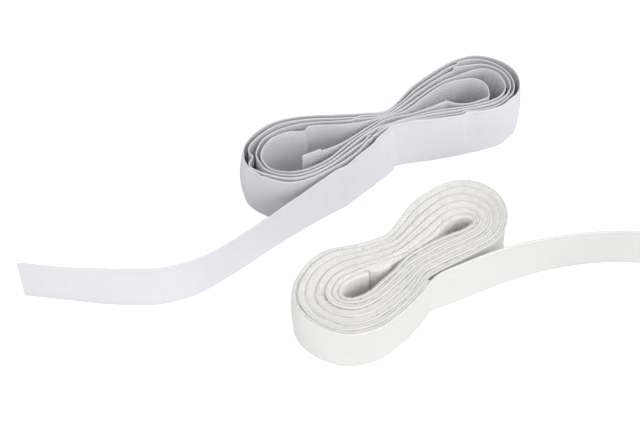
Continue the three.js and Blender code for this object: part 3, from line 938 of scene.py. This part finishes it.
class HookTapeSettings(bpy.types.PropertyGroup):
    thickness: length_property("Ground Thickness", "Thickness of the woven ground", 0.36 * MM)
    selvage_thickness: length_property("Selvage Thickness", "Thickness of the edges", 0.5 * MM)
    selvage_width: length_property("Selvage Width", "Width of the edges without hooks", 1.5 * MM)
    hook_height: length_property("Hook Height", "Height of a hook over the ground", 0.8 * MM)
    hook_thickness: length_property("Hook Thickness", "Thickness of a hook", 0.15 * MM)
    hook_spacing: length_property("Hook Spacing", "Distance between hooks in a row", 1.0 * MM)
    row_spacing: length_property("Row Spacing", "Distance between rows of hooks", 0.9 * MM)
    ground_colour: colour_property("Ground Colour", "Colour of the woven ground",
                                   (0.8, 0.8, 0.84))
    ground_shade: colour_property("Ground Shade", "Its darker tone", (0.73, 0.73, 0.78))
    # Painted highlight: paler colour laid along the tape's rims
    edge_highlight_colour: colour_property("Edge Highlight Colour", "Colour of its edges", (0.81, 0.81, 0.85))
    hook_colour: colour_property("Hook Colour", "Colour of the hooks", (0.91, 0.91, 0.945))


class LoopTapeSettings(bpy.types.PropertyGroup):
    thickness: length_property("Ground Thickness", "Thickness of the woven ground", 0.45 * MM)
    selvage_thickness: length_property("Selvage Thickness", "Thickness of the edges", 0.75 * MM)
    selvage_width: length_property("Selvage Width", "Width of the edges without loops", 1.3 * MM)
    pile_depth: length_property("Pile Depth", "Depth of the loops where they are free", 0.9 * MM)
    pile_spread: length_property("Pile Spread", "Their depth beside the inner end", 2.6 * MM)
    pile_drop: length_property("Pile Drop", "From the wound tape's edge down to the loops",
                               0.3 * MM)
    loose_drop: length_property("Loose End Drop", "From the loose end's edge down to the loops",
                                1.3 * MM)
    yarn_thickness: length_property("Yarn Thickness", "Thickness of one loop's yarn", 0.055 * MM)
    loop_size: length_property("Loop Size", "Reach of one single loop", 0.16 * MM)
    rim_density: IntProperty(name="Rim Loops", default=110, min=0, soft_max=200,
                             description="Single loops on each centimetre of rim")
    face_density: IntProperty(name="Face Loops", default=420, min=0, soft_max=900,
                              description="Single loops on each square centimetre of open pile")
    ground_colour: colour_property("Ground Colour", "Colour of the woven ground",
                                   (0.8, 0.795, 0.785))
    ground_shade: colour_property("Ground Shade", "Its darker tone", (0.75, 0.745, 0.735))
    # Painted highlight: paler colour laid along the tape's rims
    edge_highlight_colour: colour_property("Edge Highlight Colour", "Colour of its edges", (0.86, 0.855, 0.835))
    pile_colour: colour_property("Pile Colour", "Colour of the loops", (0.96, 0.95, 0.905))
    pile_shade: colour_property("Pile Shade", "Their darker tone", (0.91, 0.895, 0.845))


class StageSettings(bpy.types.PropertyGroup):
    floor_size: FloatProperty(name="Floor Size", description="Side of the floor", default=6,
                              min=0.5, unit="LENGTH")
    floor_white: FloatProperty(name="Floor White", description="How far shadows fade on the floor",
                               default=0.55, min=0, max=1, subtype="FACTOR")
    world_strength: FloatProperty(name="Room Light", description="Light from all round",
                                  default=0.6, min=0, max=2)
    lamp_power: FloatProperty(name="Lamp Power", description="Power of the right lamp",
                              default=1.064, min=0, soft_max=20, unit="POWER")
    lamp_size: FloatProperty(name="Lamp Size", description="Side of each soft lamp",
                             default=0.2, min=0.01, unit="LENGTH")
    lens: FloatProperty(name="Lens", description="Focal length of the camera", unit="CAMERA",
                        default=SENSOR_WIDTH * FOCAL_PIXELS / PICTURE_WIDTH, min=1)


# Operators

WOUND_STEP, LOOSE_STEP = 1.0 * MM, 0.6 * MM  # between the rings of a woven ground
BEND_START, BEND_END = 0.2 * MM, 13 * MM  # along the loose end, where its turn would start and end; nothing uses them to turn it


def woven_ground(wound_name, loose_name, strip, look, material):
    """A tape's ground: its wound part and its loose end."""
    section = ground_section(strip, look.thickness, look.selvage_thickness, look.selvage_width)
    wound = ribbon(wound_name, strip, stations(strip, True, WOUND_STEP), section, material)
    loose = ribbon(loose_name, strip, stations(strip, False, LOOSE_STEP), section, material)
    return wound, loose


def bend_loose_end(piece, strip):
    """Works out where the loose end's turn would start and end, leaves both unused, and bakes the
    piece's transform into its mesh.
    """
    start, end = (
        Vector(strip.place(np.array([strip.split + reach]), np.array([TAPE_WIDTH / 2]),
                           np.array([0.0]))[0]) for reach in (BEND_START, BEND_END)
    )
    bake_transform(piece)


class TAPE_OT_hook_ground(bpy.types.Operator):
    """Weave the ground of the hook tape, wound part and loose end"""
    bl_idname = "tape.hook_ground"
    bl_label = "Hook Tape Ground"

    def execute(self, context):
        look = context.scene.hook_tape
        strip = hook_strip()
        material = material_once("Bluish white woven ground", ground_material, look,
                                 pick=0.5 * MM, yarn=0.42 * MM, mottle=0.35, roughness=0.62)
        wound, loose = woven_ground(
            "hook_ground_wound", "hook_ground_loose_end", strip, look, material)
        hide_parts("hook_roll_tape")
        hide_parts("hook_tail_tape")
        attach(wound, "hook_roll")
        bend_loose_end(loose, strip)
        return {"FINISHED"}


HOOK_SHADE = 0.93  # share of the hooks' colour in their darker tone
HOOK_END_GAP = 0.6 * MM  # without hooks at each cut end
HOOK_BACK_GAP = 0.12 * MM  # between a hook's tip and the next turn
LEAST_HOOK, FULL_HOOK = 0.16 * MM, 0.7 * MM  # height, and that from which it has its thickness
HOOK_PARTS = 4  # pieces that the wound part's hooks are made in


class TAPE_OT_hook_field(bpy.types.Operator):
    """Set the rows of stiff hooks on the inner face of the hook tape"""
    bl_idname = "tape.hook_field"
    bl_label = "Hooks"

    def execute(self, context):
        look = context.scene.hook_tape
        strip = hook_strip()
        shade = [part * HOOK_SHADE for part in look.hook_colour]
        material = material_once("Stiff hook filament", yarn_material, look.hook_colour, shade,
                                 roughness=0.38, sheen=0.0, specular=0.5)
        rng = np.random.default_rng(5)
        margin = look.selvage_width + 0.35 * MM
        rows = np.arange(margin, TAPE_WIDTH - margin + 1e-9, look.row_spacing)
        columns = np.arange(1.2 * MM, strip.length - 0.8 * MM, look.hook_spacing)
        along = np.repeat(columns[:, None], len(rows), axis=1)
        along = along + (np.arange(len(rows)) % 2)[None] * look.hook_spacing / 2
        height = np.repeat(rows[None], len(columns), axis=0)
        along = (along + rng.normal(0, 0.06 * MM, along.shape)).ravel()
        height = (height + rng.normal(0, 0.05 * MM, height.shape)).ravel()
        along = np.clip(along, HOOK_END_GAP, strip.length - HOOK_END_GAP)
        room = strip.room_at(along, height) - look.selvage_thickness - HOOK_BACK_GAP
        tall = np.clip(room, LEAST_HOOK, look.hook_height)
        lines, across = hook_lines(strip, along, height, look.thickness / 2, tall, rng)
        radius = np.full(lines.shape[:2], look.hook_thickness / 2)
        radius = radius * np.clip(tall / FULL_HOOK, 0.35, 1)[:, None]
        ends = strip.split * np.linspace(0, 1, HOOK_PARTS + 1)
        bands = [(f"hooks_wound_{number}", low, high)
                 for number, (low, high) in enumerate(zip(ends, ends[1:]), 1)]
        bands.append(("hooks_loose_end", strip.split, strip.length))
        pieces = []
        for name, low, high in bands:
            chosen = (along >= low) & (along < high)
            piece = tubes(name, lines[chosen], across[chosen], radius[chosen], along[chosen],
                          material)
            pieces.append(piece)
        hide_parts("hook_roll_hooks")
        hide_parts("hook_tail_hooks")
        for piece in pieces[:-1]:
            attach(piece, "hook_roll")
        bend_loose_end(pieces[-1], strip)
        return {"FINISHED"}


class TAPE_OT_loop_ground(bpy.types.Operator):
    """Weave the ground of the loop tape, wound part and loose end"""
    bl_idname = "tape.loop_ground"
    bl_label = "Loop Tape Ground"

    def execute(self, context):
        look = context.scene.loop_tape
        strip = loop_strip()
        material = material_once("Creamy white woven ground", ground_material, look,
                                 pick=0.6 * MM, yarn=0.5 * MM, mottle=0.3, roughness=0.72)
        wound, loose = woven_ground(
            "loop_ground_wound", "loop_ground_loose_end", strip, look, material)
        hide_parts("loop_roll_tape")
        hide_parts("loop_tail_tape")
        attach(wound, "loop_roll")
        bend_loose_end(loose, strip)
        return {"FINISHED"}


# How the pile's rim sinks (mm) across its depth (share), from its own ground outwards
RIM_SINKS, RIM_SHARES = (0.0, 0.05, 0.17, 0.34, 0.6), (0.0, 0.3, 0.6, 0.85, 1.0)
PILE_ROOT = 0.06 * MM  # that the pile reaches into its ground
PILE_PRESS = 0.15 * MM  # that it is pressed against the next turn
LEAST_PILE, MOST_PILE = 0.7 * MM, 4.6 * MM
INNER_BLEND, OPEN_BLEND = 4 * MM, 3 * MM  # over which one depth changes to the next


def pile_depth(strip, along, height, look):
    """Thin on the innermost turn, fuller up to where the tape's inner end covers it, and
    pressed against the next turn from there on."""
    room = strip.room_at(along, height) - (look.thickness + look.selvage_thickness) / 2
    inmost = np.clip(room / 2, 0.6 * MM, look.pile_depth)
    open_turn = np.clip(room - 0.5 * MM, LEAST_PILE, look.pile_spread)
    pressed = np.clip(room + PILE_PRESS, LEAST_PILE, MOST_PILE)
    pressed = np.where(along < strip.split, pressed, look.pile_depth)
    past_inmost = np.clip((along - strip.inmost) / INNER_BLEND, 0, 1)
    past_open = np.clip((along - strip.covered) / OPEN_BLEND, 0, 1)
    depth = inmost * (1 - past_inmost) + open_turn * past_inmost
    return depth * (1 - past_open) + pressed * past_open


def pile_band(name, strip, along, look, drop, material, row_step, lump, seed):
    """The soft mass of the brushed loops: a lumpy band on the ground's inner face."""
    low, high = drop, TAPE_WIDTH - drop
    rows = np.linspace(low + 1.3 * MM, high - 1.3 * MM, round((high - low) / row_step))
    sinks = np.array(RIM_SINKS) * MM
    heights = np.concatenate((low + sinks, rows, high - sinks[::-1]))
    reach = np.concatenate((RIM_SHARES, np.ones(len(rows)), RIM_SHARES[::-1]))
    back = heights[-2:0:-1]
    section_height = np.concatenate((heights, back))
    depth = pile_depth(strip, along[:, None], heights[None], look)
    face = strip.side * look.thickness / 2
    front = face + strip.side * depth * reach[None]
    root = face - strip.side * PILE_ROOT
    inside = np.full((len(along), len(back)), root)
    front[:, 0] = front[:, -1] = root
    offsets = np.concatenate((front, inside), axis=1)
    rng = np.random.default_rng(seed)
    tumble = rng.normal(0, 1, (len(along), len(heights)))
    tumble = (tumble + np.roll(tumble, 1, 0) + np.roll(tumble, 1, 1)) / 1.7
    drift = rng.normal(0, 1, (len(along) // 3 + 2, len(heights)))
    slow = drift[np.arange(len(along)) // 3]

    def roughen(grid_along, grid_height, grid_offset):
        count = len(heights)
        height, offset = grid_height.copy(), grid_offset.copy()
        amount = lump * (0.6 * tumble + 0.4 * slow) * reach[None]
        room = np.minimum(depth / (1.2 * MM), 1)
        offset[:, 1:count - 1] += strip.side * (amount * room)[:, 1:-1]
        rim = np.clip((heights - (high - 1.2 * MM)) / (1.2 * MM), 0, 1)
        height[:, 1:count] += (lump * 1.3 * tumble * rim[None] * room)[:, 1:]
        return height, offset

    return ribbon(name, strip, along, (section_height, offsets), material, roughen)


class TAPE_OT_loop_pile(bpy.types.Operator):
    """Lay the mass of brushed loops on the inner face of the loop tape"""
    bl_idname = "tape.loop_pile"
    bl_label = "Loop Pile"

    def execute(self, context):
        look = context.scene.loop_tape
        strip = loop_strip()
        material = loop_material(look)
        wound = pile_band("loop_pile_wound", strip, stations(strip, True, 0.8 * MM), look,
                          look.pile_drop, material,
                          row_step=1.6 * MM, lump=0.06 * MM, seed=31)
        loose = pile_band("loop_pile_loose_end", strip, stations(strip, False, 0.45 * MM), look,
                          look.loose_drop, material,
                          row_step=0.6 * MM, lump=0.14 * MM, seed=32)
        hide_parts("loop_roll_loops")
        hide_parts("loop_tail_loops")
        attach(wound, "loop_roll")
        bend_loose_end(loose, strip)
        return {"FINISHED"}


OPENING_ROOM = 3.2 * MM  # beside a turn, from which its pile shows and has single loops
FACE_SHARE = 0.93  # of the pile's depth, where the loops on its face start


class TAPE_OT_single_loops(bpy.types.Operator):
    """Raise single loops of yarn where the pile shows: its rims, the openings and the loose end"""
    bl_idname = "tape.single_loops"
    bl_label = "Single Loops"

    def execute(self, context):
        look = context.scene.loop_tape
        strip = loop_strip()
        material = loop_material(look)
        rng = np.random.default_rng(9)
        top = TAPE_WIDTH - look.pile_drop

        def raised(name, along, height, depth_share, out_of):
            """Single loops at a share of the pile's depth, that point the way out_of gives."""
            depth = pile_depth(strip, along, height, look)
            offset = strip.side * (look.thickness / 2 + depth * depth_share)
            base = strip.place(along, height, offset)
            ahead, out = strip.directions(along)
            out = out_of(out)
            out = out / np.linalg.norm(out, axis=1, keepdims=True)
            lines, across = curl_lines(base, out, ahead, look.loop_size, rng)
            radius = np.full(lines.shape[:2], look.yarn_thickness / 2)
            piece = tubes(name, lines, across, radius, along, material)
            return piece

        count = int(strip.split * CENTIMETRES * look.rim_density)
        along = rng.uniform(0.5 * MM, strip.split - 0.3 * MM, count)
        share = rng.uniform(0.05, 0.97, count)
        height = top - 0.05 * MM - np.interp(share, RIM_SHARES, RIM_SINKS) * MM
        tilt = (rng.normal(0, 0.35, count) + share * 0.5)[:, None]
        rims = []
        for name, chosen in (("single_loops_rim_inner", along < strip.split / 2),
                             ("single_loops_rim_outer", along >= strip.split / 2)):
            rims.append(raised(name, along[chosen], height[chosen], share[chosen],
                               lambda out: UP + out * tilt[chosen]))

        room = strip.rooms[1] * (strip.along < strip.split)
        weight = np.clip((room - OPENING_ROOM) / (2 * MM), 0, 1)
        chance = np.cumsum(weight * np.gradient(strip.along))
        count = int(chance[-1] * (TAPE_WIDTH - 2 * look.pile_drop) * CENTIMETRES**2
                    * look.face_density)
        along = np.interp(rng.uniform(0, chance[-1], count), chance, strip.along)
        height = rng.uniform(look.pile_drop + 0.3 * MM, top - 0.3 * MM, count)
        middle = np.median(along)
        openings = [raised(name, along[chosen], height[chosen],
                           np.full(chosen.sum(), FACE_SHARE), lambda out: out + UP * 0.15)
                    for name, chosen in (("single_loops_opening_inner", along < middle),
                                         ("single_loops_opening_outer", along >= middle))]

        span = strip.length - strip.split
        count = int(span * (TAPE_WIDTH - 2 * look.loose_drop) * CENTIMETRES**2
                    * look.face_density)
        along = rng.uniform(strip.split + 0.5 * MM, strip.length - 0.5 * MM, count)
        height = rng.uniform(look.loose_drop + 0.1 * MM, TAPE_WIDTH - look.loose_drop, count)
        loose = raised("single_loops_loose_end", along, height, np.full(count, FACE_SHARE),
                       lambda out: out)

        for piece in (*rims, *openings):
            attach(piece, "loop_roll")
        bend_loose_end(loose, strip)
        return {"FINISHED"}


LAMP_DISTANCE = 0.65
# Soft lamps around the tapes: degrees to the right of the camera, degrees up, share of the power
LAMPS = (("right lamp", 88, 32, 1.0), ("front lamp", 4, 32, 0.7), ("low lamp", -20, 12, 0.71))
FLOOR_DROP = 0.02 * MM  # below the tapes' lower edges


class TAPE_OT_stage(bpy.types.Operator):
    """Lay the white floor and set the lamps, the room light and the camera"""
    bl_idname = "tape.stage"
    bl_label = "Stage"

    def execute(self, context):
        look = context.scene.tape_stage
        scene = context.scene
        side = look.floor_size / 2
        mesh = bpy.data.meshes.new("floor")
        mesh.from_pydata([(-side, -side, 0), (side, -side, 0), (side, side, 0), (-side, side, 0)],
                         [], [(0, 1, 2, 3)])
        floor = bpy.data.objects.new("floor", mesh)
        floor.location.z = -FLOOR_DROP
        scene.collection.objects.link(floor)
        mesh.materials.append(floor_material(look.floor_white))

        world = bpy.data.worlds.new("Plain room")
        world.use_nodes = True
        tree = world.node_tree
        background = tree.nodes["Background"]
        background.inputs["Color"].default_value = (1, 1, 1, 1)
        background.inputs["Strength"].default_value = look.world_strength
        white = node(tree, "ShaderNodeBackground", (0, -200))
        white.inputs["Color"].default_value = (1, 1, 1, 1)
        white.inputs["Strength"].default_value = 1
        mixed = node(tree, "ShaderNodeMixShader", (250, 0))
        tree.links.new(seen_ray(tree), mixed.inputs[0])
        tree.links.new(background.outputs[0], mixed.inputs[1])
        tree.links.new(white.outputs[0], mixed.inputs[2])
        tree.links.new(mixed.outputs[0], tree.nodes["World Output"].inputs[0])
        scene.world = world

        for name, turned, raised, share in LAMPS:
            add_lamp(scene, name, math.radians(turned), math.radians(raised),
                     look.lamp_size, look.lamp_power * share)

        camera = bpy.data.objects.new("camera", bpy.data.cameras.new("camera"))
        scene.collection.objects.link(camera)
        camera.data.sensor_width = SENSOR_WIDTH
        camera.data.lens = look.lens
        camera.data.clip_start, camera.data.clip_end = 0.01, 20
        back = CAMERA_DISTANCE * math.cos(CAMERA_ELEVATION)
        high = CAMERA_DISTANCE * math.sin(CAMERA_ELEVATION)
        camera.location = (PLAN_SHIFT[0], PLAN_SHIFT[1] - back, high)
        camera.rotation_euler = (math.pi / 2 - CAMERA_ELEVATION, 0, 0)
        scene.camera = camera
        scene.view_settings.view_transform = "Standard"
        return {"FINISHED"}


def add_lamp(scene, name, turned, raised, size, power):
    """A soft square lamp that faces the middle of the tapes."""
    lamp = bpy.data.lights.new(name, "AREA")
    lamp.size, lamp.energy = size, power
    made = bpy.data.objects.new(name, lamp)
    made.location = LAMP_DISTANCE * Vector((
        math.sin(turned) * math.cos(raised), -math.cos(turned) * math.cos(raised),
        math.sin(raised)))
    made.rotation_euler = (-made.location).to_track_quat("-Z", "Y").to_euler()
    scene.collection.objects.link(made)


def seen_ray(tree):
    """1 for what the camera sees directly, in a reflection or through glass, and 0 for light."""
    path = node(tree, "ShaderNodeLightPath", (-600, 300))
    seen = maths(tree, "ADD", (-400, 300), path.outputs["Is Camera Ray"],
                 path.outputs["Is Glossy Ray"])
    return maths(tree, "ADD", (-200, 300), seen, path.outputs["Is Transmission Ray"], clamp=True)


def floor_material(white_share):
    """Pale matt floor that the camera sees nearly white, with the object's shadow kept."""
    material = bpy.data.materials.new("White floor")
    material.use_nodes = True
    tree = material.node_tree
    shader = tree.nodes["Principled BSDF"]
    shader.inputs["Base Color"].default_value = (0.92, 0.92, 0.92, 1)
    shader.inputs["Roughness"].default_value = 0.9
    shader.inputs["Specular IOR Level"].default_value = 0.1
    glow = node(tree, "ShaderNodeEmission", (0, -300))
    tree.links.new(maths(tree, "MULTIPLY", (0, 300), seen_ray(tree), white_share),
                   glow.inputs["Strength"])
    both = node(tree, "ShaderNodeAddShader", (300, 0))
    tree.links.new(shader.outputs[0], both.inputs[0])
    tree.links.new(glow.outputs[0], both.inputs[1])
    tree.links.new(both.outputs[0], tree.nodes["Material Output"].inputs[0])
    return material


class TAPE_PT_panel(bpy.types.Panel):
    bl_idname = "TAPE_PT_panel"
    bl_label = "Hook and Loop Tape"
    bl_space_type = "VIEW_3D"
    bl_region_type = "UI"
    bl_category = "Tape"

    def draw(self, context):
        scene = context.scene
        for operators, settings in (
            ((TAPE_OT_hook_ground, TAPE_OT_hook_field), scene.hook_tape),
            ((TAPE_OT_loop_ground, TAPE_OT_loop_pile, TAPE_OT_single_loops), scene.loop_tape),
            ((TAPE_OT_stage,), scene.tape_stage),
        ):
            box = self.layout.box()
            for operator in operators:
                box.operator(operator.bl_idname)
            for key in settings.__annotations__:
                box.prop(settings, key)


CLASSES = (
    HookTapeSettings, LoopTapeSettings, StageSettings,
    TAPE_OT_hook_ground, TAPE_OT_hook_field, TAPE_OT_loop_ground, TAPE_OT_loop_pile,
    TAPE_OT_single_loops, TAPE_OT_stage, TAPE_PT_panel,
)


def register():
    for made in CLASSES:
        bpy.utils.register_class(made)
    bpy.types.Scene.hook_tape = PointerProperty(type=HookTapeSettings)
    bpy.types.Scene.loop_tape = PointerProperty(type=LoopTapeSettings)
    bpy.types.Scene.tape_stage = PointerProperty(type=StageSettings)


def unregister():
    del bpy.types.Scene.tape_stage
    del bpy.types.Scene.loop_tape
    del bpy.types.Scene.hook_tape
    for made in reversed(CLASSES):
        bpy.utils.unregister_class(made)


def main():
    register()
    bpy.ops.tape.stage()
    bpy.ops.tape.hook_ground()
    bpy.ops.tape.hook_field()
    bpy.ops.tape.loop_ground()
    bpy.ops.tape.loop_pile()
    bpy.ops.tape.single_loops()


if __name__ == "__main__":
    main()
